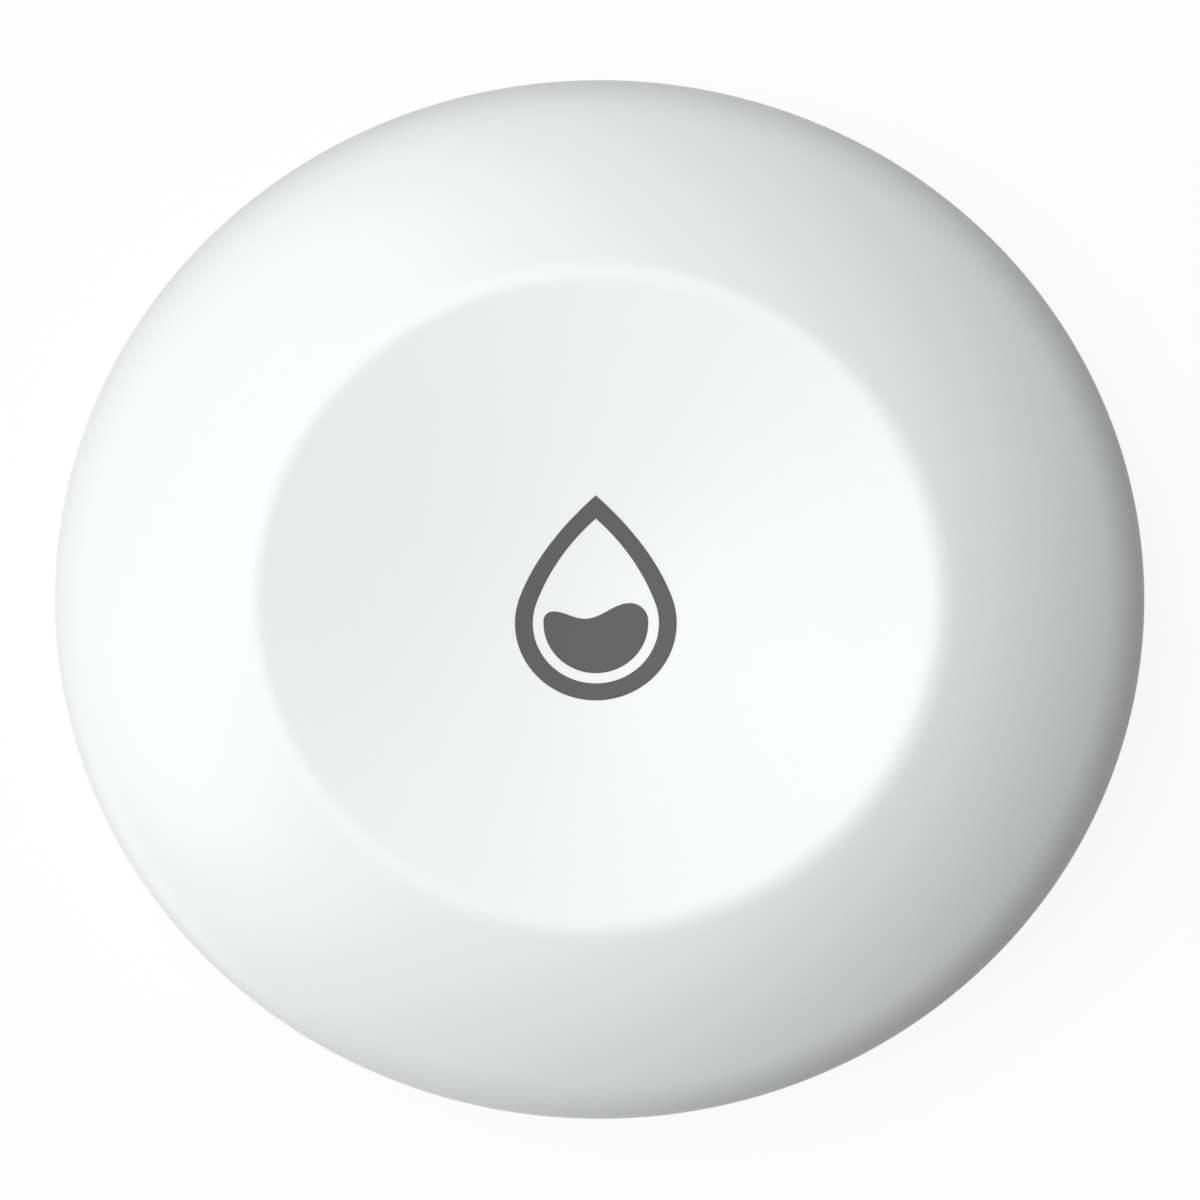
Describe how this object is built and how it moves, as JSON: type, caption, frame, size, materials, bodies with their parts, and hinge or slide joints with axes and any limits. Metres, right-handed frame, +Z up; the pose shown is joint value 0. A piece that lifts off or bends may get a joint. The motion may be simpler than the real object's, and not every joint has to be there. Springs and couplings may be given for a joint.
{
  "type": "water leak sensor",
  "caption": "Low oval white leak sensor with a dished press-button top, grey drop pictogram, water probes underneath and a threaded coin-cell door.",
  "frame": {"origin": "middle of the surface it stands on, at the underside of the feet", "axes": "+Z up through the dish, +X to the right along the longer width, +Y towards the tip of the drop"},
  "size_m": [0.0512, 0.0488, 0.016],
  "materials": {
    "white_abs": "white moulded ABS with a fine satin texture",
    "grey_abs": "grey moulded ABS, satin",
    "silicone": "translucent grey silicone, matt",
    "soft_tpe": "light grey soft plastic, matt",
    "dark_rubber": "black rubber, matt",
    "cell_steel": "nickel-plated steel, satin",
    "screw_steel": "zinc-plated steel",
    "probe_steel": "polished stainless steel",
    "spring_nickel": "nickel-plated spring steel",
    "tin_plate": "tin-plated sheet, satin",
    "bush_brass": "turned brass",
    "board_laminate": "green solder mask",
    "black_resin": "black moulded resin, matt",
    "switch_nylon": "dark grey nylon",
    "led_resin": "clear yellow-tinted resin",
    "chip_ceramic": "tan ceramic"
  },
  "bodies": {
    "housing": {"top_shell": "white_abs", "base": "white_abs", "case_seal": "silicone", "case_screws": "screw_steel", "feet": "soft_tpe", "circuit_board": "board_laminate", "switch_body": "black_resin", "switch_cover": "tin_plate", "status_led": "led_resin", "radio_chip": "black_resin", "crystal": "tin_plate", "shield_can": "tin_plate", "antenna": "tin_plate", "chip_parts": "chip_ceramic", "cell_clip": "spring_nickel", "cell_spring": "spring_nickel", "probe_studs": "probe_steel", "probe_seals": "dark_rubber", "probe_bushes": "bush_brass", "board_screws": "screw_steel"},
    "dish": {"press_dish": "white_abs", "drop_mark": "grey_abs", "dish_seal": "silicone"},
    "plunger": {"switch_plunger": "switch_nylon"},
    "cell_tray": {"coin_cell": "cell_steel", "door_seal": "dark_rubber"},
    "door": {"battery_door": "white_abs"}
  },
  "joints": [
    {"name": "dish_press", "type": "slide", "parent": "housing", "child": "dish", "axis": [0, 0, -1], "range_m": [0, 0.0003], "stiffness_N_per_m": 4000, "springref_m": -0.0001},
    {"name": "switch_press", "type": "slide", "parent": "housing", "child": "plunger", "axis": [0, 0, -1], "range_m": [0, 0.0003]},
    {"name": "door_drop", "type": "slide", "parent": "housing", "child": "cell_tray", "axis": [0, 0, -1], "range_m": [0, 0.0066]},
    {"name": "door_turn", "type": "hinge", "parent": "cell_tray", "child": "door", "pos_m": [0, 0, 0.002], "axis": [0, 0, -1], "range_deg": [0, 360]}
  ],
  "couplings": [
    {"joint": "switch_press", "follows": "dish_press", "ratio": 1},
    {"joint": "door_turn", "follows": "door_drop", "rad_per_m": 952}
  ]
}
